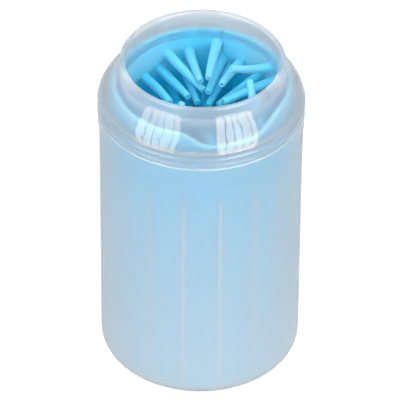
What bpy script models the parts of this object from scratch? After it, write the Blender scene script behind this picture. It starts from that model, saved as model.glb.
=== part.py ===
"""Paw washer cup: a ribbed tumbler, a bayonet collar with a round neck, a sealing ring between the two,
and a soft silicone mat, rolled into a tube, whose fingers point inwards.

The axis of the cup is Z and the cup rests on the plane Z = 0. The front is -Y. Angles round the axis are
given from the front towards +X. Lengths below are in millimetres and angles in degrees.
"""
import math

import bmesh
import bpy
from mathutils import Matrix, Vector

MM = 0.001
TURN_STEPS = 54
GAP = 0.3

# overall
HEIGHT = 155.0
COLLAR_RADIUS = 45.0

# tumbler
BASE_RADIUS = 43.75
BODY_TOP_RADIUS = 44.6
BODY_WALL = 1.8
FLOOR = 2.4
BASE_FILLET = 7.6
FOOT_RING_INNER = 31.0
FOOT_RECESS = 0.6
LEDGE_Z = 129.3
LEDGE_ROUND = 0.5
STEP_DEPTH = 3.0
FINISH_RADIUS = 42.3
FINISH_BORE = 41.0
FINISH_TOP = 134.9

# upright ribs inside the tumbler
RIB_COUNT = 16
RIB_FIRST = -10.3
RIB_THICK = 1.5
RIB_TIP_RADIUS = 39.6
RIB_FULL_TOP = 110.0
RIB_RUN_OUT_TOP = 116.0

# bayonet joint
LUG_COUNT = 4
CUP_LUG_START = 1.0
CUP_LUG_END = 43.0
CUP_LUG_RADIUS = 43.25
CUP_LUG_Z = (132.5, 134.2)
STOP_WIDTH = 1.8
STOP_BOTTOM = 130.2
COLLAR_LUG_START = 46.6
COLLAR_LUG_END = 86.6
COLLAR_LUG_RADIUS = 42.6
COLLAR_LUG_Z = (130.2, 132.1)
LUG_STEPS = 8

# sealing ring
SEAL_INNER = 41.2
SEAL_OUTER = 43.3
SEAL_Z = (FINISH_TOP + GAP, 136.5)

# collar
SKIRT_BOTTOM = LEDGE_Z + GAP
SKIRT_BORE = 43.6
SKIRT_ROUND = 0.5
SEAT_Z = 136.8
DOME_INNER_RADIUS = 41.4
DOME_INNER_TOP = 149.0
SHOULDER_Z = 136.6
SHOULDER_TOP = 150.6
NECK_RADIUS = 35.8
NECK_BORE = 33.2
RIM_ROUND = 1.3
LIP_TUBE_RADIUS = 34.9
LIP_TUBE_BOTTOM = 140.8
DOME_POINTS = 8
DOME_SIDE_POWER = 2.8
DOME_RISE_POWER = 1.41

# rolled mat and its fingers
MAT_OUTER = 39.0
MAT_THICK = 1.6
MAT_BOTTOM = FLOOR + GAP
MAT_TOP = 141.0
SLIT_ANGLE = 166.0
SLIT_WIDTH = 2.4
FINGER_ROWS = 14
FINGER_TOP_ROW = 130.4
FINGER_ROW_PITCH = 8.7
FINGERS_PER_ROW = 15
FINGER_ROOT_RADIUS = 2.4
FINGER_TIP_RADIUS = 1.6
FINGER_TIP_AT = 10.6
FINGER_SIDES = 6


def direction(angle):
    """Unit vector at an angle from the front, -Y, towards +X."""
    a = math.radians(angle)
    return Vector((math.sin(a), -math.cos(a), 0.0))


def turn_to(angle):
    """Rotation about Z that brings +X to an angle from the front."""
    return Matrix.Rotation(math.radians(angle - 90.0), 4, "Z")


def clear_scene():
    for obj in list(bpy.data.objects):
        bpy.data.objects.remove(obj, do_unlink=True)


def new_collection(name):
    collection = bpy.data.collections.new(name)
    bpy.context.scene.collection.children.link(collection)
    return collection


def material(name, color, roughness, alpha=1.0):
    mat = bpy.data.materials.new(name)
    mat.use_nodes = True
    shader = mat.node_tree.nodes["Principled BSDF"]
    shader.inputs["Base Color"].default_value = (*color, 1.0)
    shader.inputs["Roughness"].default_value = roughness
    shader.inputs["Metallic"].default_value = 0.0
    shader.inputs["Alpha"].default_value = alpha
    return mat


def arc(center, radius, start, end, steps):
    """Points of an arc in the (radius, height) plane, with its angles in degrees."""
    points = []
    for i in range(steps + 1):
        a = math.radians(start + (end - start) * i / steps)
        points.append((center[0] + radius * math.cos(a), center[1] + radius * math.sin(a)))
    return points


def turned(name, profile, collection, closed):
    """A solid turned about Z from a profile of (radius, height) points."""
    mesh = bpy.data.meshes.new(name)
    bm = bmesh.new()
    verts = [bm.verts.new((r * MM, 0.0, z * MM)) for r, z in profile]
    for a, b in zip(verts, verts[1:]):
        bm.edges.new((a, b))
    if closed:
        bm.edges.new((verts[-1], verts[0]))
    bm.to_mesh(mesh)
    bm.free()
    obj = bpy.data.objects.new(name, mesh)
    collection.objects.link(obj)
    screw = obj.modifiers.new("Turn", "SCREW")
    screw.axis = "Z"
    screw.angle = 2 * math.pi
    screw.steps = TURN_STEPS
    screw.render_steps = TURN_STEPS
    screw.use_merge_vertices = True
    screw.merge_threshold = 0.00001
    screw.use_smooth_shade = True
    return obj


def plate(outline, thickness):
    """A flat closed outline in XY, extruded to a thickness about Z = 0, as a mesh."""
    curve = bpy.data.curves.new("plate", "CURVE")
    curve.dimensions = "2D"
    curve.fill_mode = "BOTH"
    curve.extrude = thickness * MM / 2
    spline = curve.splines.new("POLY")
    spline.points.add(len(outline) - 1)
    for point, (x, y) in zip(spline.points, outline):
        point.co = (x * MM, y * MM, 0.0, 1.0)
    spline.use_cyclic_u = True
    obj = bpy.data.objects.new("plate", curve)
    bpy.context.scene.collection.objects.link(obj)
    evaluated = obj.evaluated_get(bpy.context.evaluated_depsgraph_get())
    mesh = bpy.data.meshes.new_from_object(evaluated)
    bpy.data.objects.remove(obj, do_unlink=True)
    return mesh


def copies(name, mesh, places, collection):
    """One hidden object that holds a welded copy of a mesh at each place, for joining to another piece."""
    bm = bmesh.new()
    for place in places:
        one = bmesh.new()
        one.from_mesh(mesh)
        bmesh.ops.remove_doubles(one, verts=one.verts, dist=0.000001)
        bmesh.ops.recalc_face_normals(one, faces=one.faces)
        one.transform(place)
        part = bpy.data.meshes.new("copy")
        one.to_mesh(part)
        one.free()
        bm.from_mesh(part)
        bpy.data.meshes.remove(part)
    joined = bpy.data.meshes.new(name)
    bm.to_mesh(joined)
    bm.free()
    obj = bpy.data.objects.new(name, joined)
    collection.objects.link(obj)
    obj.hide_render = True
    obj.display_type = "WIRE"
    return obj


def boolean(obj, other, operation):
    mod = obj.modifiers.new(other.name, "BOOLEAN")
    mod.operation = operation
    mod.object = other
    mod.solver = "EXACT"


def sector(inner, outer, start, end):
    """Outline of a ring sector in XY, between two angles from the front."""
    points = []
    for radius, first, last in ((outer, start, end), (inner, end, start)):
        for i in range(LUG_STEPS + 1):
            point = direction(first + (last - first) * i / LUG_STEPS) * radius
            points.append((point.x, point.y))
    return points


def ring_of_sectors(name, inner, outer, start, end, z_range, collection):
    """The same ring sector repeated for each lug of the bayonet joint."""
    low, high = z_range
    mesh = plate(sector(inner, outer, start, end), high - low)
    lift = Matrix.Translation((0.0, 0.0, (low + high) / 2 * MM))
    places = [Matrix.Rotation(math.tau * k / LUG_COUNT, 4, "Z") @ lift for k in range(LUG_COUNT)]
    return copies(name, mesh, places, collection)


def body_radius(z):
    """Outer radius of the tumbler's drafted wall at a height."""
    return BASE_RADIUS + (BODY_TOP_RADIUS - BASE_RADIUS) * (z - BASE_FILLET) / (LEDGE_Z - BASE_FILLET)


def cup_profile():
    """From the middle of the floor up the inside, over the rim, and down the outside to the foot ring."""
    fillet_center = (BASE_RADIUS - BASE_FILLET, BASE_FILLET)
    inner_fillet = BASE_FILLET - BODY_WALL
    floor_angle = math.degrees(math.asin((FLOOR - BASE_FILLET) / inner_fillet))
    step_z = LEDGE_Z - STEP_DEPTH
    points = [(0.0, FLOOR)]
    points += arc(fillet_center, inner_fillet, floor_angle, 0, 3)
    points += [
        (body_radius(step_z) - BODY_WALL, step_z),
        (FINISH_BORE, LEDGE_Z),
        (FINISH_BORE, FINISH_TOP),
        (FINISH_RADIUS, FINISH_TOP),
        (FINISH_RADIUS, LEDGE_Z),
    ]
    points += arc((BODY_TOP_RADIUS - LEDGE_ROUND, LEDGE_Z - LEDGE_ROUND), LEDGE_ROUND, 90, 0, 2)
    points += arc(fillet_center, BASE_FILLET, 0, -90, 5)
    points += [
        (FOOT_RING_INNER, 0.0),
        (FOOT_RING_INNER - FOOT_RECESS, FOOT_RECESS),
        (0.0, FOOT_RECESS),
    ]
    return points


def rib_outline():
    """One rib in the (radius, height) plane. Its outer edge runs in the middle of the tumbler's wall."""
    middle = BODY_WALL / 2
    fillet_center = (BASE_RADIUS - BASE_FILLET, BASE_FILLET)
    points = [(RIB_TIP_RADIUS, FLOOR - middle), (RIB_TIP_RADIUS, RIB_FULL_TOP)]
    points.append((body_radius(RIB_RUN_OUT_TOP) - middle, RIB_RUN_OUT_TOP))
    points += arc(fillet_center, BASE_FILLET - middle, 0, -58, 3)
    return points


def make_cup(collection, cutters):
    cup = turned("cup", cup_profile(), collection, closed=False)
    rib = plate(rib_outline(), RIB_THICK)
    upright = Matrix.Rotation(math.pi / 2, 4, "X")
    angles = [RIB_FIRST + 360.0 * k / RIB_COUNT for k in range(RIB_COUNT)]
    ribs = copies("cup_ribs", rib, [turn_to(a) @ upright for a in angles], cutters)
    boolean(cup, ribs, "UNION")
    root = (FINISH_BORE + FINISH_RADIUS) / 2
    lugs = ring_of_sectors(
        "cup_lugs", root, CUP_LUG_RADIUS, CUP_LUG_START, CUP_LUG_END, CUP_LUG_Z, cutters
    )
    boolean(cup, lugs, "UNION")
    stops = ring_of_sectors(
        "cup_stops", root, CUP_LUG_RADIUS, CUP_LUG_START - STOP_WIDTH, CUP_LUG_START + 0.2,
        (STOP_BOTTOM, CUP_LUG_Z[1]), cutters,
    )
    boolean(cup, stops, "UNION")
    return cup


def dome(rim_radius, rim_z, neck_radius, neck_z):
    """The collar's shoulder from its wide rim up to the neck: upright at both ends, sloping between."""
    points = []
    for i in range(DOME_POINTS + 1):
        a = math.pi / 2 * i / DOME_POINTS
        side = max(math.cos(a), 0.0) ** DOME_SIDE_POWER
        rise = math.sin(a) ** DOME_RISE_POWER
        points.append((neck_radius + (rim_radius - neck_radius) * side, rim_z + (neck_z - rim_z) * rise))
    return points


def collar_profile():
    """Closed section of the collar: rim, neck and shoulder down the outside, skirt, then up the inside."""
    rim_center = (NECK_BORE + (NECK_RADIUS - NECK_BORE) / 2, HEIGHT - RIM_ROUND)
    lip_round = (LIP_TUBE_RADIUS - NECK_BORE) / 2
    points = arc(rim_center, RIM_ROUND, 180, 0, 4)
    points += reversed(dome(COLLAR_RADIUS, SHOULDER_Z, NECK_RADIUS, SHOULDER_TOP))
    points += arc((COLLAR_RADIUS - SKIRT_ROUND, SKIRT_BOTTOM + SKIRT_ROUND), SKIRT_ROUND, 0, -90, 2)
    points += [(SKIRT_BORE, SKIRT_BOTTOM), (SKIRT_BORE, SEAT_Z)]
    points += dome(DOME_INNER_RADIUS, SEAT_Z, LIP_TUBE_RADIUS, DOME_INNER_TOP)
    points += arc((NECK_BORE + lip_round, LIP_TUBE_BOTTOM + lip_round), lip_round, 0, -180, 4)
    return points


def make_collar(collection, cutters):
    collar = turned("collar", collar_profile(), collection, closed=True)
    root = (SKIRT_BORE + COLLAR_RADIUS) / 2
    lugs = ring_of_sectors(
        "collar_lugs", COLLAR_LUG_RADIUS, root, COLLAR_LUG_START, COLLAR_LUG_END, COLLAR_LUG_Z, cutters
    )
    boolean(collar, lugs, "UNION")
    return collar


def make_seal_ring(collection):
    low, high = SEAL_Z
    profile = [(SEAL_INNER, high), (SEAL_OUTER, high), (SEAL_OUTER, low), (SEAL_INNER, low)]
    return turned("seal_ring", profile, collection, closed=True)


def finger_places():
    """Place of each finger: rows of evenly spaced fingers, every second row moved round by half a pitch."""
    pitch = 360.0 / FINGERS_PER_ROW
    places = []
    for row in range(FINGER_ROWS):
        z = FINGER_TOP_ROW - FINGER_ROW_PITCH * row
        shift = pitch / 2 if row % 2 == 0 else pitch
        for k in range(FINGERS_PER_ROW):
            on_slit = row % 2 == 1 and k == FINGERS_PER_ROW - 1
            if not on_slit:
                places.append((SLIT_ANGLE + shift + pitch * k, z))
    return places


def make_bristle_mat(collection, cutters):
    inner = MAT_OUTER - MAT_THICK
    root = MAT_OUTER - MAT_THICK / 2
    profile = [(inner, MAT_TOP), (MAT_OUTER, MAT_TOP), (MAT_OUTER, MAT_BOTTOM), (inner, MAT_BOTTOM)]
    mat = turned("bristle_mat", profile, collection, closed=True)
    bm = bmesh.new()
    bmesh.ops.create_cone(
        bm, cap_ends=True, segments=FINGER_SIDES, radius1=FINGER_ROOT_RADIUS * MM,
        radius2=FINGER_TIP_RADIUS * MM, depth=(root - FINGER_TIP_AT) * MM,
    )
    finger = bpy.data.meshes.new("finger")
    bm.to_mesh(finger)
    bm.free()
    inward = Matrix.Rotation(-math.pi / 2, 4, "Y")
    places = []
    for angle, z in finger_places():
        middle = direction(angle) * (root + FINGER_TIP_AT) / 2 * MM
        middle.z = z * MM
        places.append(Matrix.Translation(middle) @ turn_to(angle) @ inward)
    boolean(mat, copies("mat_fingers", finger, places, cutters), "UNION")
    tall = MAT_TOP + 20.0
    slot = plate([(inner - 2, -SLIT_WIDTH / 2), (MAT_OUTER + 2, -SLIT_WIDTH / 2),
                  (MAT_OUTER + 2, SLIT_WIDTH / 2), (inner - 2, SLIT_WIDTH / 2)], tall)
    lift = Matrix.Translation((0.0, 0.0, MAT_TOP / 2 * MM))
    boolean(mat, copies("mat_slit", slot, [lift @ turn_to(SLIT_ANGLE)], cutters), "DIFFERENCE")
    return mat


def main():
    clear_scene()
    parts = new_collection("paw_washer_cup")
    cutters = new_collection("cutters")
    frosted = material("frosted_plastic", (0.80, 0.90, 0.95), 0.35, alpha=0.55)
    clear = material("clear_plastic", (0.86, 0.92, 0.96), 0.15, alpha=0.45)
    soft_blue = material("blue_silicone", (0.13, 0.56, 0.85), 0.45)
    soft_white = material("white_silicone", (0.88, 0.91, 0.93), 0.5, alpha=0.8)
    pieces = (
        (make_cup(parts, cutters), frosted),
        (make_collar(parts, cutters), clear),
        (make_seal_ring(parts), soft_white),
        (make_bristle_mat(parts, cutters), soft_blue),
    )
    for obj, mat in pieces:
        obj.data.materials.append(mat)


main()
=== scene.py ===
"""Looks of the paw washer cup: frosted tumbler, glossy collar, sealing ring and soft mat with its fingers.

Lengths are worked out in millimetres and turned into metres when a mesh is made. Angles round the cup's axis
are in degrees, from the front (-Y) towards +X. Outlines are lists of (radius, height) points.
"""
import math
import random
from collections import namedtuple

import bmesh
import bpy
from mathutils import Matrix, Vector


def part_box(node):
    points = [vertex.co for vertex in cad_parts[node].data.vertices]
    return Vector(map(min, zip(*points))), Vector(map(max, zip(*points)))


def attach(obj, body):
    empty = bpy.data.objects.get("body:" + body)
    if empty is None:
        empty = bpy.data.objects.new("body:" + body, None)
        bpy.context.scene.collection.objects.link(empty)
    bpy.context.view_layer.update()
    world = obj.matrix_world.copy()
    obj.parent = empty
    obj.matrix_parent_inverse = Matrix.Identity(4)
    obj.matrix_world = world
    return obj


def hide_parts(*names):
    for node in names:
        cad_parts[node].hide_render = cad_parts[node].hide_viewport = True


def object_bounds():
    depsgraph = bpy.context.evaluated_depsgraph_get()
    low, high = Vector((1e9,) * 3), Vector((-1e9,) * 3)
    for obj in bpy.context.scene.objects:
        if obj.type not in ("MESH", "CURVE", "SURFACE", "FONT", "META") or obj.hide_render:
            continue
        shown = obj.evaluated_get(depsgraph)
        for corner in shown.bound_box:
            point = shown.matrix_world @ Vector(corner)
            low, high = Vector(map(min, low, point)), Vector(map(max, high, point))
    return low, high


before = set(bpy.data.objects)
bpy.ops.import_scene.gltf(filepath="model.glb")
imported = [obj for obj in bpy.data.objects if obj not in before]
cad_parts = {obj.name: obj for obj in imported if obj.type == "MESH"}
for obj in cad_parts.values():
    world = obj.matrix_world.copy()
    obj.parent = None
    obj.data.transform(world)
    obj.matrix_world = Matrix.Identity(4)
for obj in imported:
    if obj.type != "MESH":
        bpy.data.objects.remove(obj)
cad_low, cad_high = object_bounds()

MM = 0.001
MERGE = 0.002 * MM
SHARP = math.radians(38)


def corners(node):
    low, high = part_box(node)
    return low / MM, high / MM


collar_low, collar_high = corners("collar")
seal_low, seal_high = corners("seal_ring")
mat_low, mat_high = corners("bristle_mat")
cup_high = corners("cup")[1]

# heights and radii that the CAD model gives
RIM_TOP = collar_high.z
SKIRT_BOTTOM = collar_low.z
COLLAR_RADIUS = collar_high.x
MOUTH_TOP = cup_high.z
BODY_TOP_RADIUS = cup_high.x
SEAL_OUTER = seal_high.x
MAT_OUTER = mat_high.x
MAT_BOTTOM = mat_low.z
MAT_TOP = mat_high.z

# tumbler
BASE_RADIUS = 43.75
FLARE_BOTTOM = 116.0
FLARE_TOP = 125.0
FLARE_START_RADIUS = 44.15
FLARE_END_RADIUS = BODY_TOP_RADIUS + 0.2
WALL = 1.8
FLOOR = 2.4
FILLET = 7.6
FOOT_INNER = 31.0
FOOT_RECESS = 0.6
FOOT_SLOPE = 1.2
LEDGE = SKIRT_BOTTOM - 0.3
LEDGE_ROUND = 0.5
STEP_DEPTH = 3.0
MOUTH_RADIUS = 42.3
MOUTH_BORE = 41.0
MOUTH_ROUND = 0.4
OUTSIDE_HEIGHTS = (127, 125, 123, 121.5, 120, 118, 116, 95, 75, 55, 35, 18)

# ribs inside the tumbler, with the steps in degrees from a rib's middle that its round shape needs
RIB_COUNT = 16
RIB_FIRST = -10.3
RIB_TIP = 39.6
RIB_EDGES = (0.75, 1.5)
RIB_CREST_HALF = 0.7
RIB_FLANK_HALF = 1.15
RIB_STEPS = (0.0, 0.5, 0.7, 0.95, 1.1, 1.25, 1.45, 1.8, 2.5, 4.5, 7.5)
RIB_FULL = 110.0
RIB_END = 116.0
RIB_HEIGHTS = (20, 40, 60, 80, 100)
RUN_OUT_HEIGHTS = (106.5, RIB_FULL, 111.5, 113, 114.5, RIB_END, 120, LEDGE - STEP_DEPTH)

# bayonet joint: angles, radius and heights of a lug
Lug = namedtuple("Lug", "start end radius bottom top")
LUGS = 4
CUP_LUG = Lug(1.0, 43.0, 43.25, 132.5, 134.2)
CUP_STOP = Lug(-0.8, 1.0, 43.25, 130.2, 132.5)
COLLAR_LUG = Lug(46.6, 86.6, 42.6, 130.2, 132.1)
LUG_SLOPE = 0.1

# collar
SKIRT_BORE = 43.6
SKIRT_TOP = 136.5
SKIRT_TOP_RADIUS = 44.35
SKIRT_TOP_ROUND = 0.35
SKIRT_FOOT_ROUND = 0.5
SKIRT_INSET = 0.05
SEAT = 136.8
NECK_RADIUS = 35.8
NECK_BORE = 33.2
NECK_STRAIGHT = (152.4, 151.9)
LIP_TUBE = 34.9
LIP_BOTTOM = 140.8
LEAN = 0.4
LEAN_HEIGHTS = (136.6, 151.0)
SHOULDER_OUTER = ((43.85, 137.5), (42.60, 140.0), (41.35, 142.0), (39.98, 144.0), (38.64, 146.0),
                  (37.42, 148.0), (36.60, 149.5), (36.12, 150.5), (35.86, 151.3))
SHOULDER_INNER = ((41.5, 136.8), (41.45, 138.4), (40.5, 140.2), (39.3, 142.0), (37.95, 144.0),
                  (36.65, 146.0), (35.55, 148.0), (34.9, 149.0))

# thin moulded lines on the skirt: their heights, and their outline from top to bottom
SKIRT_LINES = (134.2, 131.4)
LINE_OUTLINE = ((44.75, 0.35), (44.92, 0.0), (44.78, -0.35))

# sealing ring
SEAL_WIDTH = 2.1
SEAL_ROUND = 0.35

# sheet of the mat, open at the slit, with a wavy top edge that dips at the front and rises at the back
SHEET = 1.6
SHEET_CLEARANCE = 0.45
SHEET_PLAIN_TOP = 120.6
SLIT = 166.0
SLIT_GAP = 0.3
SLIT_STEPS = (0.3, 0.6, 0.75, 0.9, 1.05, 1.2, 1.4, 1.8, 2.6, 4.0)
EDGE_ABOVE_CAD = 2.0
EDGE_ROUND = 0.8
EDGE_DIP = 6.6
EDGE_DIP_ANGLES = (-15, 7, 36, 62)
EDGE_BACK_RISE = 0.7
EDGE_BACK_ANGLES = (110, 150)
EDGE_WAVE = 0.35

# thick band along the top of the sheet: extra thickness, lower edge, flap beside the slit, and step
BAND_EXTRA = 0.9
BAND_LOW = 124.2
BAND_RISE = 7.8
BAND_RISE_ANGLES = (60.0, 25.0)
FLAP_RISE = 3.6
FLAP_CORNER = 4.5
FLAP_CORNER_ANGLE = 7.0
BAND_GROOVE = (0.42, 0.78)
BAND_STEP = 0.9
BAND_STEP_BACK = 2.2
BAND_BACK_ANGLES = (24, 15)
BAND_STEP_SHARES = (-1.0, -0.5, -0.17, 0.11, 0.39, 0.89)

# fingers of the mat; those on show are set one by one and keep the others clear of them
ROWS = 14
TOP_ROW = 130.4
ROW_PITCH = 8.7
PER_ROW = 15
FINGER_LENGTH = 27.0
FINGER_STEPS = 10
FINGER_SIDES = 14
ROOT_RADIUS = 2.3
ROOT_FLARE = 0.55
ROOT_IN_SHEET = 0.6
TIP_RADIUS = 1.5
HOLE_RADIUS = 0.5
SEEN_BOTTOM = 116.0
SEEN_ANGLE = 98.0
CLEAR_ANGLE = 11
CLEAR_HEIGHT = 5.5

# fingers that the mouth shows: angle and height of the root, swing to one side, droop, curl at the tip
SEEN_FINGERS = (
    (-156.6, 131.8, -15.2, 6.2, 2),
    (-171.4, 131.1, -3.2, -10.7, 2),
    (169.4, 136.5, -3.0, -3.8, 2),
    (152.7, 128.2, -11.1, -20.0, 2),
    (120.0, 137.0, -12.1, -28.4, 0),
    (-151.5, 123.8, 1.5, -11.0, 2),
    (-137.4, 123.7, 19.6, -13.5, 2),
    (-167.5, 123.4, -1.6, -0.1, 2),
    (166.2, 126.9, -1.1, -7.1, 2),
    (161.0, 123.0, 1.6, 2.0, 2),
    (137.0, 125.0, 0.2, 1.7, 2),
    (116.0, 131.5, -4.2, 6.3, 0),
    (50.0, 131.0, 39.3, -39.8, 0),
    (-27.0, 131.0, -10.3, -15.2, 0),
)

# plastics: colours, and haze as the share of light that the skin scatters at each height
TINT = (0.79, 0.855, 0.90)
# painted light: the tumbler's neck under the skirt is tinted bluer than the rest, standing in for blue light
# from the mat
NECK_TINT_WITH_BLUE_LIGHT = (0.70, 0.90, 0.98)
COLLAR_TINT = (0.82, 0.86, 0.90)
PLASTIC_IOR = 1.12
SKIN_HAZE = ((20, 0.53), (95, 0.39), (124, 0.32))
LIP_HAZE = ((145, 0.03), (149, 0.24))

# silicone, with painted shade and light: heights between which its colour fades from a darker painted-shade
# blue low in the cup to a lighter painted-light blue at the top, in the middle and at the sides, which are
# painted lighter still, and where the sides begin
SHADE_TO_LIGHT_HEIGHTS = (116, 136)
SIDE_LIGHT_HEIGHTS = (118, 132)
SIDE_LIGHT_DISTANCE = (6, 30)

# finishes, in the order of each piece's materials
OUTSIDE, INSIDE, RIB_FLANK, LEDGE_EDGE, NECK, RIB_CREST = range(6)
COLLAR_SKIN, COLLAR_LINING = range(2)
SHEET_FACE, SHEET_EDGE, FINGER, SHEET_BACK = range(4)


def direction(angle):
    """Level unit vector from the axis towards an angle."""
    a = math.radians(angle)
    return Vector((math.sin(a), -math.cos(a), 0.0))


def around(angle):
    """The same angle, between -180 and 180."""
    return (angle + 180.0) % 360.0 - 180.0


def smooth(low, high, x):
    """0 at the low value and 1 at the high one, with a soft start and end."""
    t = min(max((x - low) / (high - low), 0.0), 1.0)
    return t * t * (3 - 2 * t)


def arc(center, radius, start, end, steps):
    points = []
    for i in range(steps + 1):
        a = math.radians(start + (end - start) * i / steps)
        points.append((center[0] + radius * math.cos(a), center[1] + radius * math.sin(a)))
    return points


def line(a, b, steps):
    """Points from a to b, without a."""
    shares = [i / steps for i in range(1, steps + 1)]
    return [(a[0] + (b[0] - a[0]) * t, a[1] + (b[1] - a[1]) * t) for t in shares]


def smooth_line(points, steps):
    """Catmull-Rom curve through the points."""
    found = [points[0]]
    count = len(points)
    for i in range(count - 1):
        a, b, c, d = (Vector(points[min(max(k, 0), count - 1)]) for k in (i - 1, i, i + 1, i + 2))
        for j in range(1, steps + 1):
            t = j / steps
            square = 2 * a - 5 * b + 4 * c - d
            cube = 3 * b - a - 3 * c + d
            p = 0.5 * (2 * b + (c - a) * t + square * t ** 2 + cube * t ** 3)
            found.append((p.x, p.y))
    return found


def radius_at(points, z):
    """Radius at a height of an outline whose points rise."""
    for (r0, z0), (r1, z1) in zip(points, points[1:]):
        if z0 <= z <= z1:
            return r0 + (r1 - r0) * (z - z0) / (z1 - z0)
    return points[-1][0] if z > points[-1][1] else points[0][0]


# ---------------------------------------------------------------- meshes

def finish_mesh(name, verts, faces, finishes, node, slot):
    """Makes the piece from millimetres, welds it, points its faces outwards and puts it on its body."""
    mesh = bpy.data.meshes.new(name)
    mesh.from_pydata([tuple(c * MM for c in v) for v in verts], [], faces)
    mesh.polygons.foreach_set("material_index", finishes)
    bm = bmesh.new()
    bm.from_mesh(mesh)
    bmesh.ops.remove_doubles(bm, verts=bm.verts, dist=MERGE)
    bmesh.ops.dissolve_degenerate(bm, edges=bm.edges, dist=MERGE)
    bmesh.ops.recalc_face_normals(bm, faces=bm.faces)
    bm.to_mesh(mesh)
    bm.free()
    mesh.shade_smooth()
    mesh.set_sharp_from_angle(angle=SHARP)
    piece = bpy.data.objects.new(name, mesh)
    bpy.context.scene.collection.objects.link(piece)
    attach(piece, node)
    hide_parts(node)
    return piece


def loft(columns, parts, finishes, closed, full_turn=True):
    """Points, faces and finishes of a skin through the outline at each angle of the columns.

    parts(angle) gives the outline as lists of points that follow each other. A part's finish is a number, or
    a function of the angle, and holds for the faces that begin on its points.
    """
    verts = []
    for angle in columns:
        way = direction(angle)
        verts += [(way.x * r, way.y * r, z) for part in parts(angle) for r, z in part]
    by_point = [finish for part, finish in zip(parts(columns[0]), finishes) for _ in part]
    count = len(by_point)
    faces = []
    found = []
    for i in range(len(columns) if full_turn else len(columns) - 1):
        a = i * count
        b = (i + 1) % len(columns) * count
        for j in range(count if closed else count - 1):
            k = (j + 1) % count
            faces.append((a + j, b + j, b + k, a + k))
            finish = by_point[j]
            found.append(finish(columns[i]) if callable(finish) else finish)
    return verts, faces, found


def all_columns(even, extra):
    """Angles round the axis: evenly spaced ones, and closer ones where a shape needs them."""
    found = sorted({round(a % 360.0, 3) for a in [360.0 * i / even for i in range(even)] + extra})
    kept = [found[0]]
    for a in found[1:]:
        if a - kept[-1] > 0.04:
            kept.append(a)
    return kept


def lug_columns(*lugs):
    """Close pairs of angles at the ends of each lug."""
    return [end + 360.0 * k / LUGS + step for lug in lugs for end in (lug.start, lug.end)
            for step in (-0.05, 0.05) for k in range(LUGS)]


def lug_radius(angle, lug, plain):
    """Radius of the lug where the angle is on one, and the plain radius elsewhere."""
    turned = (angle - lug.start) % (360.0 / LUGS)
    return lug.radius if turned <= lug.end - lug.start else plain


# ---------------------------------------------------------------- tumbler

def body_radius(z):
    if z <= FLARE_BOTTOM:
        return BASE_RADIUS + (FLARE_START_RADIUS - BASE_RADIUS) * (z - FILLET) / (FLARE_BOTTOM - FILLET)
    return FLARE_START_RADIUS + (FLARE_END_RADIUS - FLARE_START_RADIUS) * smooth(FLARE_BOTTOM, FLARE_TOP, z)


def rib_off(angle):
    """Degrees from an angle to the middle of the nearest rib."""
    pitch = 360.0 / RIB_COUNT
    return abs((angle - RIB_FIRST + pitch / 2) % pitch - pitch / 2)


def ribbed(points, angle):
    """Points of the inside wall, drawn in to the tip where the angle is on a rib."""
    share = 1 - smooth(*RIB_EDGES, rib_off(angle))
    return [(r - max(r - RIB_TIP, 0.0) * share * (1 - smooth(RIB_FULL, RIB_END, z)), z) for r, z in points]


def rib_finish(angle):
    off = rib_off(angle + 0.05)
    if off > RIB_FLANK_HALF:
        return INSIDE
    return RIB_CREST if off < RIB_CREST_HALF else RIB_FLANK


def wall_inside(heights):
    return [(body_radius(z) - WALL, z) for z in heights]


def cup_parts(angle):
    """Outline of the cup: floor and ribbed wall, plain wall and mouth, neck with lugs, ledge, outside."""
    corner = (BASE_RADIUS - FILLET, FILLET)
    round_inside = FILLET - WALL
    floor_angle = math.degrees(math.asin((FLOOR - FILLET) / round_inside))
    floor_edge = (corner[0] + round_inside * math.cos(math.radians(floor_angle)), FLOOR)
    floor = [(0.0, FLOOR)] + line((0.0, FLOOR), floor_edge, 4)
    floor += arc(corner, round_inside, floor_angle, 0, 8)[1:]
    plain = ribbed(wall_inside(RUN_OUT_HEIGHTS), angle)
    plain += [(MOUTH_BORE + 0.25, LEDGE - 0.3), (MOUTH_BORE, LEDGE + 0.3)]
    round_height = MOUTH_TOP - MOUTH_ROUND
    plain += arc((MOUTH_BORE + MOUTH_ROUND, round_height), MOUTH_ROUND, 180, 90, 3)
    plain += arc((MOUTH_RADIUS - MOUTH_ROUND, round_height), MOUTH_ROUND, 90, 0, 3)
    stop = lug_radius(angle, CUP_STOP, MOUTH_RADIUS)
    lug = max(lug_radius(angle, CUP_LUG, MOUTH_RADIUS), stop)
    neck = [(MOUTH_RADIUS, CUP_LUG.top), (lug, CUP_LUG.top - LUG_SLOPE), (lug, CUP_LUG.bottom)]
    neck += [(stop, CUP_LUG.bottom), (stop, CUP_STOP.bottom), (MOUTH_RADIUS, CUP_STOP.bottom)]
    edge = arc((FLARE_END_RADIUS - LEDGE_ROUND, LEDGE - LEDGE_ROUND), LEDGE_ROUND, 90, 0, 4)
    outside = [edge.pop()] + [(body_radius(z), z) for z in OUTSIDE_HEIGHTS]
    outside += arc(corner, FILLET, 0, -90, 12)
    outside += [(FOOT_INNER + FOOT_SLOPE / 2, 0.0), (FOOT_INNER - FOOT_SLOPE / 2, FOOT_RECESS)]
    outside += [(0.0, FOOT_RECESS)]
    inside = ribbed(floor + wall_inside(RIB_HEIGHTS), angle)
    return inside, plain, neck, [(MOUTH_RADIUS, LEDGE)] + edge, outside


def make_cup():
    ribs = [RIB_FIRST + 360.0 / RIB_COUNT * k + side * step for k in range(RIB_COUNT) for step in RIB_STEPS
            for side in (1, -1)]
    columns = all_columns(1, ribs + lug_columns(CUP_LUG, CUP_STOP))
    finishes = (rib_finish, INSIDE, NECK, LEDGE_EDGE, OUTSIDE)
    return finish_mesh("frosted_cup", *loft(columns, cup_parts, finishes, False), "cup", "frosted_plastic")


# ---------------------------------------------------------------- collar and sealing ring

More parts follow.
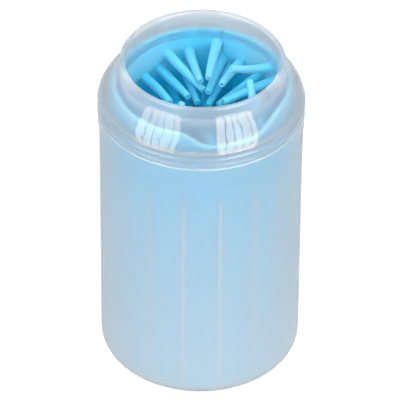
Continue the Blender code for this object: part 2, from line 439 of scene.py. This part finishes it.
def collar_parts(angle):
    """Outline of the collar: polished skin from rim to skirt's foot, and the lining back to the rim."""
    rim = (NECK_RADIUS - NECK_BORE) / 2
    lip = (LIP_TUBE - NECK_BORE) / 2
    skin = arc((NECK_BORE + rim, RIM_TOP - rim), rim, 180, 0, 12)
    skin += [(NECK_RADIUS, z) for z in NECK_STRAIGHT]
    skin += reversed(smooth_line(SHOULDER_OUTER, 3))
    skin += arc((SKIRT_TOP_RADIUS - SKIRT_TOP_ROUND, SKIRT_TOP), SKIRT_TOP_ROUND, 80, 0, 4)
    skin += [(r, z + rise) for z in SKIRT_LINES for r, rise in LINE_OUTLINE]
    foot = (COLLAR_RADIUS - SKIRT_INSET - SKIRT_FOOT_ROUND, SKIRT_BOTTOM + SKIRT_FOOT_ROUND)
    skin += arc(foot, SKIRT_FOOT_ROUND, 0, -90, 4)
    lug = lug_radius(angle, COLLAR_LUG, SKIRT_BORE)
    lining = [skin.pop(), (SKIRT_BORE, SKIRT_BOTTOM), (SKIRT_BORE, COLLAR_LUG.bottom)]
    lining += [(lug, COLLAR_LUG.bottom + LUG_SLOPE), (lug, COLLAR_LUG.top - LUG_SLOPE)]
    lining += [(SKIRT_BORE, COLLAR_LUG.top), (SKIRT_BORE, SEAT)]
    lining += smooth_line(SHOULDER_INNER, 3)
    lining += arc((NECK_BORE + lip, LIP_BOTTOM + lip), lip, 0, -180, 8)
    return skin, lining


def make_collar():
    columns = all_columns(240, lug_columns(COLLAR_LUG))
    verts, faces, finishes = loft(columns, collar_parts, (COLLAR_SKIN, COLLAR_LINING), True)
    verts = [(x + LEAN * smooth(*LEAN_HEIGHTS, z), y, z) for x, y, z in verts]
    return finish_mesh("glossy_collar", verts, faces, finishes, "collar", "clear_plastic")


def make_seal():
    half_wide = SEAL_WIDTH / 2
    half_high = (seal_high.z - seal_low.z) / 2
    middle = (SEAL_OUTER - half_wide, seal_low.z + half_high)
    points = []
    for sx, sz, start in ((1, 1, 90), (1, -1, 0), (-1, -1, -90), (-1, 1, -180)):
        center = (middle[0] + sx * (half_wide - SEAL_ROUND), middle[1] + sz * (half_high - SEAL_ROUND))
        points += arc(center, SEAL_ROUND, start, start - 90, 3)
    ring = loft(all_columns(180, []), lambda angle: (points,), (0,), True)
    return finish_mesh("sealing_ring", *ring, "seal_ring", "white_silicone")


# ---------------------------------------------------------------- mat

def mat_top(angle):
    """Top edge of the sheet."""
    a = around(angle)
    fall_start, fall_end, rise_start, rise_end = EDGE_DIP_ANGLES
    dip = EDGE_DIP * smooth(fall_start, fall_end, a) * (1 - smooth(rise_start, rise_end, a))
    back = EDGE_BACK_RISE * smooth(*EDGE_BACK_ANGLES, abs(a))
    return MAT_TOP + EDGE_ABOVE_CAD + back - dip + EDGE_WAVE * math.sin(math.radians(3 * a + 40))


def band_bottom(angle):
    """Lower edge of the thick band: raised on one side of the slit, and cut round at the flap's corner."""
    a = around(angle - SLIT)
    if a > 0:
        return BAND_LOW + BAND_RISE * smooth(*BAND_RISE_ANGLES, a)
    return BAND_LOW + FLAP_RISE + FLAP_CORNER * (1 - smooth(0.0, FLAP_CORNER_ANGLE, -a)) ** 2


def sheet_radius(z):
    """Outside of the sheet, which follows the inside of the shoulder."""
    return min(MAT_OUTER, radius_at(SHOULDER_INNER, z) - SHEET_CLEARANCE)


def sheet_parts(angle):
    """Outline of the sheet: inner face, top edge, outer face."""
    bend_start = mat_top(angle) - EDGE_ROUND
    edge = band_bottom(angle)
    band = BAND_EXTRA * smooth(*BAND_GROOVE, abs(math.radians(around(angle - SLIT)) * MAT_OUTER))
    step = BAND_STEP + BAND_STEP_BACK * smooth(*BAND_BACK_ANGLES, abs(around(angle - 180.0)))
    heights = [MAT_BOTTOM + (SHEET_PLAIN_TOP - MAT_BOTTOM) * i / 20 for i in range(21)]
    heights += [edge + share * step for share in BAND_STEP_SHARES]
    band_start = heights[-1]
    heights += [band_start + (bend_start - band_start) * i / 8 for i in range(1, 9)]
    inner = []
    outer = []
    for z in heights:
        extra = band * smooth(edge - step, band_start, z)
        inner.append((sheet_radius(z) - SHEET - extra, z))
        outer.append((sheet_radius(z), z))
    half = (outer[-1][0] - inner[-1][0]) / 2
    turns = [math.pi * (1 - i / 6) for i in range(1, 6)]
    cap = [(outer[-1][0] - half + half * math.cos(t), bend_start + EDGE_ROUND * math.sin(t)) for t in turns]
    return inner + cap[:1], cap[1:-1], cap[-1:] + outer[::-1]


def sheet_columns():
    """Angles from one side of the slit all the way round to the other, closer together near the slit."""
    half_slit = math.degrees(SLIT_GAP / 2 / MAT_OUTER)
    near = [half_slit, *SLIT_STEPS]
    last = SLIT_STEPS[-1]
    far = [last + (360.0 - 2 * last) * i / 220 for i in range(1, 220)]
    return [SLIT + step for step in near + far + [360.0 - step for step in reversed(near)]]


def sheet_mesh():
    """The rolled sheet with its thicker top band, open at the slit and closed at both of its ends."""
    columns = sheet_columns()
    verts, faces, finishes = loft(columns, sheet_parts, (SHEET_FACE, SHEET_EDGE, SHEET_BACK), True, False)
    size = len(verts) // len(columns)
    for start in (0, len(verts) - size):
        for j in range(size // 2):
            k = size - 1 - j
            quad = (start + j, start + j + 1, start + k - 1, start + k)
            faces.append(tuple(dict.fromkeys(quad)))
            finishes.append(SHEET_FACE)
    return verts, faces, finishes


def bend(root, angle, swing, droop, curl):
    """Middle line of a finger, which leaves the sheet inwards and turns bit by bit sideways and downwards."""
    inwards = -direction(angle)
    side = Vector((inwards.y, -inwards.x, 0.0))
    point = root.copy()
    points = [point.copy()]
    for i in range(FINGER_STEPS):
        t = (i + 0.5) / FINGER_STEPS
        turn = math.radians(swing * min(1.0, 0.35 + t))
        fall = math.radians(droop * min(1.0, 0.35 + t) + curl * t * t * 3)
        way = inwards * math.cos(turn) + side * math.sin(turn)
        way = way * math.cos(fall) - Vector((0, 0, 1)) * math.sin(fall)
        point = point + way * (FINGER_LENGTH / FINGER_STEPS)
        points.append(point.copy())
    return points


def finger_rings(points):
    """Middle and radius of each ring of a finger, from its flared root to its round tip with a blind hole."""
    rings = []
    total = len(points) - 1
    for i, p in enumerate(points):
        t = i / total
        flare = ROOT_FLARE * max(0.0, 1 - t * 9) ** 2
        rings.append((p, ROOT_RADIUS + (TIP_RADIUS - ROOT_RADIUS) * t + flare))
    way = (points[-1] - points[-2]).normalized()
    tip = points[-1]
    rings += [(tip + way * ahead, TIP_RADIUS - shrink)
              for ahead, shrink in ((0.0, 0.0), (0.22, 0.08), (0.36, 0.28), (0.40, 0.5))]
    rings += [(tip + way * 0.36, HOLE_RADIUS + 0.1), (tip + way * 0.2, HOLE_RADIUS)]
    rings += [(tip - way * 1.8, HOLE_RADIUS * 0.9), (tip - way * 2.1, HOLE_RADIUS * 0.5)]
    return rings


def add_finger(points, verts, faces):
    """Adds a soft rod along the points to a mesh's lists."""
    first = len(verts)
    total = len(points) - 1
    rings = finger_rings(points)
    for i, (p, r) in enumerate(rings):
        axis = (points[min(i + 1, total)] - points[max(min(i, total) - 1, 0)]).normalized()
        side = axis.cross(Vector((0, 0, 1))).normalized()
        top = side.cross(axis)
        for s in range(FINGER_SIDES):
            a = math.tau * s / FINGER_SIDES
            verts.append(tuple(p + side * (r * math.cos(a)) + top * (r * math.sin(a))))
    last = len(verts) - FINGER_SIDES
    for ring in range(first, last, FINGER_SIDES):
        for s in range(FINGER_SIDES):
            a = ring + s
            b = ring + (s + 1) % FINGER_SIDES
            faces.append((a, b, b + FINGER_SIDES, a + FINGER_SIDES))
    faces.append(tuple(reversed(range(first, first + FINGER_SIDES))))
    faces.append(tuple(range(last, last + FINGER_SIDES)))


def finger_list():
    """Root and bend of every finger. Those in the mouth are set one by one, and the rest droop a little."""
    rng = random.Random(7)
    found = list(SEEN_FINGERS)
    for row in range(ROWS):
        z = TOP_ROW - ROW_PITCH * row
        shift = 180.0 / PER_ROW * (1 if row % 2 == 0 else 2)
        for k in range(PER_ROW):
            angle = SLIT + shift + 360.0 / PER_ROW * k
            swing, droop, curl = rng.uniform(-9, 9), rng.uniform(-4, 10), rng.uniform(0, 6)
            on_slit = row % 2 == 1 and k == PER_ROW - 1
            crowded = any(abs(around(angle - a)) < CLEAR_ANGLE and abs(z - h) < CLEAR_HEIGHT
                          for a, h, *_ in SEEN_FINGERS)
            shown = z > SEEN_BOTTOM and abs(around(angle)) > SEEN_ANGLE
            if not (on_slit or crowded or shown):
                found.append((angle, z, swing, droop, curl))
    return found


def make_mat():
    verts, faces, finishes = sheet_mesh()
    for angle, z, swing, droop, curl in finger_list():
        edge = band_bottom(angle)
        inner = sheet_radius(z) - SHEET - BAND_EXTRA * smooth(edge - 1, edge + 1, z)
        root = direction(angle) * (inner + ROOT_IN_SHEET)
        root.z = z
        add_finger(bend(root, angle, swing, droop, curl), verts, faces)
    finishes += [FINGER] * (len(faces) - len(finishes))
    return finish_mesh("soft_mat", verts, faces, finishes, "bristle_mat", "blue_silicone")


# ---------------------------------------------------------------- materials

def new_material(name):
    material = bpy.data.materials.new(name)
    material.use_nodes = True
    tree = material.node_tree
    return material, tree, tree.nodes["Principled BSDF"]


def set_inputs(node, **values):
    """Sets a node's sockets. A space in a socket's name is written as an underscore."""
    for name, value in values.items():
        node.inputs[name.replace("_", " ")].default_value = value


def add_node(tree, kind, **values):
    node = tree.nodes.new(kind)
    set_inputs(node, **values)
    return node


def noise(tree, scale, detail=4.0):
    where = tree.nodes.new("ShaderNodeTexCoord")
    node = add_node(tree, "ShaderNodeTexNoise", Scale=scale, Detail=detail, Roughness=0.55)
    tree.links.new(where.outputs["Object"], node.inputs["Vector"])
    return node.outputs["Fac"]


def share_along(tree, axis, low, high, both_ways=False):
    """0 at the low place along the piece's axis and 1 at the high one. Both ways counts from 0 outwards."""
    where = tree.nodes.new("ShaderNodeTexCoord")
    split = tree.nodes.new("ShaderNodeSeparateXYZ")
    tree.links.new(where.outputs["Object"], split.inputs["Vector"])
    value = split.outputs[axis]
    if both_ways:
        size = tree.nodes.new("ShaderNodeMath")
        size.operation = "ABSOLUTE"
        tree.links.new(value, size.inputs[0])
        value = size.outputs[0]
    share = add_node(tree, "ShaderNodeMapRange", From_Min=low * MM, From_Max=high * MM)
    tree.links.new(value, share.inputs["Value"])
    return share.outputs["Result"]


def ramp(tree, source, stops):
    """Colour ramp on a value: stops are (position, colour or grey)."""
    node = tree.nodes.new("ShaderNodeValToRGB")
    band = node.color_ramp
    while len(band.elements) < len(stops):
        band.elements.new(0.5)
    for element, (position, color) in zip(band.elements, stops):
        element.position = position
        element.color = (color, color, color, 1.0) if isinstance(color, float) else (*color, 1.0)
    tree.links.new(source, node.inputs["Fac"])
    return node.outputs["Color"]


def blend(tree, mode, first, second):
    """Mix node of two colours, whose factor is still to be set."""
    node = tree.nodes.new("ShaderNodeMix")
    node.data_type = "RGBA"
    node.blend_type = mode
    tree.links.new(first, node.inputs["A"])
    tree.links.new(second, node.inputs["B"])
    return node


def bump(tree, shader, source, strength, distance):
    node = add_node(tree, "ShaderNodeBump", Strength=strength, Distance=distance)
    tree.links.new(source, node.inputs["Height"])
    tree.links.new(node.outputs["Normal"], shader.inputs["Normal"])


def plastic(name, tint, haze, roughness, coat=0.0, coat_roughness=0.1):
    """Milky translucent plastic. Haze is one share, or (height, share) pairs with an even change between."""
    material, tree, shader = new_material(name)
    shades = [tuple(c * k for c in tint) for k in (0.985, 1.0)]
    color = ramp(tree, noise(tree, 20.0), [(0.3, shades[0]), (0.75, shades[1])])
    tree.links.new(color, shader.inputs["Base Color"])
    grain = noise(tree, 260.0, detail=3.0)
    rough = ramp(tree, grain, [(0.2, roughness * 0.9), (0.8, roughness * 1.1)])
    tree.links.new(rough, shader.inputs["Roughness"])
    if isinstance(haze, float):
        set_inputs(shader, Transmission_Weight=1 - haze)
    else:
        low, high = haze[0][0], haze[-1][0]
        stops = [((z - low) / (high - low), 1 - share) for z, share in haze]
        clear = ramp(tree, share_along(tree, "Z", low, high), stops)
        tree.links.new(clear, shader.inputs["Transmission Weight"])
    set_inputs(shader, IOR=PLASTIC_IOR, Coat_Weight=coat, Coat_Roughness=coat_roughness)
    bump(tree, shader, grain, 0.06, 0.0002)
    return material


def blue_silicone(name, shade_color, lit_color, side_lit_color=None, softness=0.4):
    """Soft silicone with painted shade and light: darker blue low down in the cup where shade falls and
    lighter at its top band where light falls, with sides that can be painted lighter still, as if lit from
    the sides.
    """
    material, tree, shader = new_material(name)
    cloud = noise(tree, 60.0)
    # painted shade and light: the colour darkens lower in the cup and lightens towards the top
    color = ramp(tree, share_along(tree, "Z", *SHADE_TO_LIGHT_HEIGHTS), [(0.0, shade_color), (1.0, lit_color)])
    # painted light: the sides are made lighter, as if lit from left and right
    if side_lit_color:
        lit_sides = ramp(tree, share_along(tree, "Z", *SIDE_LIGHT_HEIGHTS), [(0.0, shade_color), (1.0, side_lit_color)])
        sideways = blend(tree, "MIX", color, lit_sides)
        tree.links.new(share_along(tree, "X", *SIDE_LIGHT_DISTANCE, both_ways=True), sideways.inputs["Factor"])
        color = sideways.outputs["Result"]
    shaded = blend(tree, "MULTIPLY", color, ramp(tree, cloud, [(0.3, 0.93), (0.75, 1.0)]))
    set_inputs(shaded, Factor=1.0)
    tree.links.new(shaded.outputs["Result"], shader.inputs["Base Color"])
    tree.links.new(ramp(tree, cloud, [(0.3, 0.40), (0.7, 0.52)]), shader.inputs["Roughness"])
    set_inputs(shader, Specular_IOR_Level=0.3)
    set_inputs(shader, Sheen_Weight=0.35, Sheen_Roughness=0.4, Sheen_Tint=(0.9, 0.97, 1.0, 1.0))
    set_inputs(shader, Subsurface_Weight=softness, Subsurface_Scale=0.0012, Subsurface_Radius=(0.3, 0.9, 2.0))
    bump(tree, shader, noise(tree, 700.0, detail=2.0), 0.1, 0.0001)
    return material


def white_silicone():
    material, tree, shader = new_material("seal_silicone")
    color = ramp(tree, noise(tree, 90.0), [(0.3, (0.72, 0.78, 0.82)), (0.75, (0.82, 0.86, 0.89))])
    tree.links.new(color, shader.inputs["Base Color"])
    set_inputs(shader, Roughness=0.5, Transmission_Weight=0.6)
    return material


def floor_material(name, grey, glow):
    material, tree, shader = new_material(name)
    color = ramp(tree, noise(tree, 1.5), [(0.3, (grey * 0.9,) * 3), (0.75, (grey * 1.1,) * 3)])
    tree.links.new(color, shader.inputs["Base Color"])
    set_inputs(shader, Roughness=0.9, Specular_IOR_Level=0.1, Emission_Color=(1.0, 1.0, 1.0, 1.0),
               Emission_Strength=glow)
    return material


def assign(piece, *materials):
    for material in materials:
        piece.data.materials.append(material)


# ---------------------------------------------------------------- pieces

def make_pieces():
    """Every piece with its materials, in the order of its finishes."""
    assign(make_cup(),
           plastic("frosted_skin", TINT, SKIN_HAZE, 0.7, 0.3, 0.45),
           plastic("frosted_inside", TINT, 0.02, 0.7),
           plastic("frosted_rib", TINT, 0.42, 0.7),
           # painted highlight: the ledge's rounding is hazier and so whiter than the skin, standing in for
           # the bright line light draws along it
           plastic("ledge_painted_highlight", TINT, 0.6, 0.7, 1.0, 0.2),
           # painted light: this neck plastic is bluer than the tumbler's own tint, standing in for blue light
           # from the mat
           plastic("frosted_neck_blue_light", NECK_TINT_WITH_BLUE_LIGHT, 0.42, 0.7),
           plastic("frosted_crest", TINT, 0.65, 0.7))
    assign(make_collar(),
           plastic("polished_skin", COLLAR_TINT, 0.16, 0.6, 1.0, 0.015),
           plastic("polished_inside", COLLAR_TINT, LIP_HAZE, 1.0))
    assign(make_seal(), white_silicone())
    # the mat's silicones carry painted shade and light: a colour for low in the cup, one for the top and, for
    # the sheet, a lighter one for its sides
    assign(make_mat(),
           blue_silicone("soft_blue_silicone", (0.010, 0.73, 1.0), (0.14, 0.74, 1.0), (0.38, 0.81, 1.0)),
           # painted highlight: the sheet's rounded top edge is a lighter copy of the silicone, so it shows as
           # a bright line
           blue_silicone("silicone_edge_highlight", (0.30, 0.82, 0.97), (0.40, 0.88, 1.0), softness=0.1),
           blue_silicone("finger_silicone", (0.02, 0.71, 1.0), (0.20, 0.71, 0.94)),
           # painted shade: the sheet's outer face, in the gap against the tumbler, is a darker copy of the
           # silicone
           blue_silicone("silicone_back_shade", (0.010, 0.62, 0.94), (0.14, 0.70, 0.96), (0.32, 0.77, 0.98)))


# ---------------------------------------------------------------- stage

def make_floor(name, drop, material):
    mesh = bpy.data.meshes.new(name)
    bm = bmesh.new()
    bmesh.ops.create_grid(bm, x_segments=8, y_segments=8, size=6.0)
    bm.to_mesh(mesh)
    bm.free()
    floor = bpy.data.objects.new(name, mesh)
    floor.location.z = cad_low.z - drop * MM
    mesh.materials.append(material)
    bpy.context.scene.collection.objects.link(floor)
    return floor


def make_floors():
    """A white floor that only the camera sees, and a dimmer one under it that lights the cup from below."""
    seen = make_floor("floor", 0.2, floor_material("pale_floor", 0.1, 1.0))
    seen.visible_diffuse = seen.visible_glossy = seen.visible_transmission = seen.visible_shadow = False
    below = make_floor("floor_bounce", 0.4, floor_material("bounce_floor", 0.2, 0.52))
    below.visible_camera = False


def make_world():
    world = bpy.data.worlds.new("studio")
    world.use_nodes = True
    set_inputs(world.node_tree.nodes["Background"], Color=(0.97, 0.98, 1.0, 1.0), Strength=0.82)
    bpy.context.scene.world = world
    bpy.context.scene.view_settings.view_transform = "Standard"


def softbox(name, azimuth, elevation, distance, size, power, roll=0.0):
    """A lamp that faces the middle of the cup. Distance and size are in metres."""
    light = bpy.data.lights.new(name, "AREA")
    light.shape = "RECTANGLE"
    light.size, light.size_y = size
    light.energy = power
    lamp = bpy.data.objects.new(name, light)
    bpy.context.scene.collection.objects.link(lamp)
    way = direction(azimuth) * math.cos(math.radians(elevation))
    way.z = math.sin(math.radians(elevation))
    lamp.location = Vector((0, 0, (cad_low.z + cad_high.z) / 2)) + way * distance
    turn = way.to_track_quat("Z", "Y").to_matrix() @ Matrix.Rotation(math.radians(roll), 3, "Z")
    lamp.rotation_euler = turn.to_euler()
    return lamp


def fill_light(*placing):
    """A softbox that polished surfaces don't mirror."""
    softbox(*placing).visible_glossy = False


def gloss_card(*placing, roll):
    """A warm, creased card that polished surfaces mirror and that lights nothing else."""
    card = softbox(*placing, roll=roll)
    card.data.color = (1.0, 0.85, 0.66)
    card.visible_diffuse = card.visible_transmission = False
    card.data.use_nodes = True
    tree = card.data.node_tree
    where = tree.nodes.new("ShaderNodeNewGeometry")
    folds = add_node(tree, "ShaderNodeTexWave", Scale=1.5, Distortion=5.0, Detail=4.0, Detail_Scale=2.4)
    tree.links.new(where.outputs["Parametric"], folds.inputs["Vector"])
    creases = ramp(tree, folds.outputs["Fac"], [(0.0, 0.0), (0.14, 1.0)])
    tree.links.new(creases, tree.nodes["Emission"].inputs["Strength"])


def make_lights():
    gloss_card("left_card", -50.5, 26, 0.9, (0.74, 1.0), 13.8, roll=7.0)
    gloss_card("right_card", 40.8, 26, 0.9, (0.70, 1.0), 18.0, roll=-12.0)
    softbox("top_softbox", 0, 72, 1.2, (1.4, 1.4), 5.8)
    fill_light("mouth_softbox", 0, 38, 1.2, (0.8, 0.8), 3.7)
    fill_light("left_softbox", -82, 34, 1.2, (1.0, 1.0), 1.2)
    fill_light("right_softbox", 82, 34, 1.2, (1.0, 1.0), 1.6)
    fill_light("front_softbox", 0, 8, 1.2, (1.8, 0.8), 0.7)


def make_camera():
    """A long lens from the front, 39 degrees above the horizon, a little out of plumb."""
    distance = 2.5
    elevation = math.radians(38.77)
    roll = math.radians(0.40)
    aim = Vector((-0.27, 0.0, 77.0)) * MM
    data = bpy.data.cameras.new("camera")
    data.sensor_width = 36.0
    data.lens = 513.7
    data.clip_start, data.clip_end = 0.1, 20.0
    camera = bpy.data.objects.new("camera", data)
    bpy.context.scene.collection.objects.link(camera)
    back = Vector((0.0, -math.cos(elevation), math.sin(elevation)))
    camera.location = aim + back * distance
    turn = (-back).to_track_quat("-Z", "Y").to_matrix()
    camera.rotation_euler = (turn @ Matrix.Rotation(roll, 3, "Z")).to_euler()
    bpy.context.scene.camera = camera


make_pieces()
make_floors()
make_world()
make_lights()
make_camera()
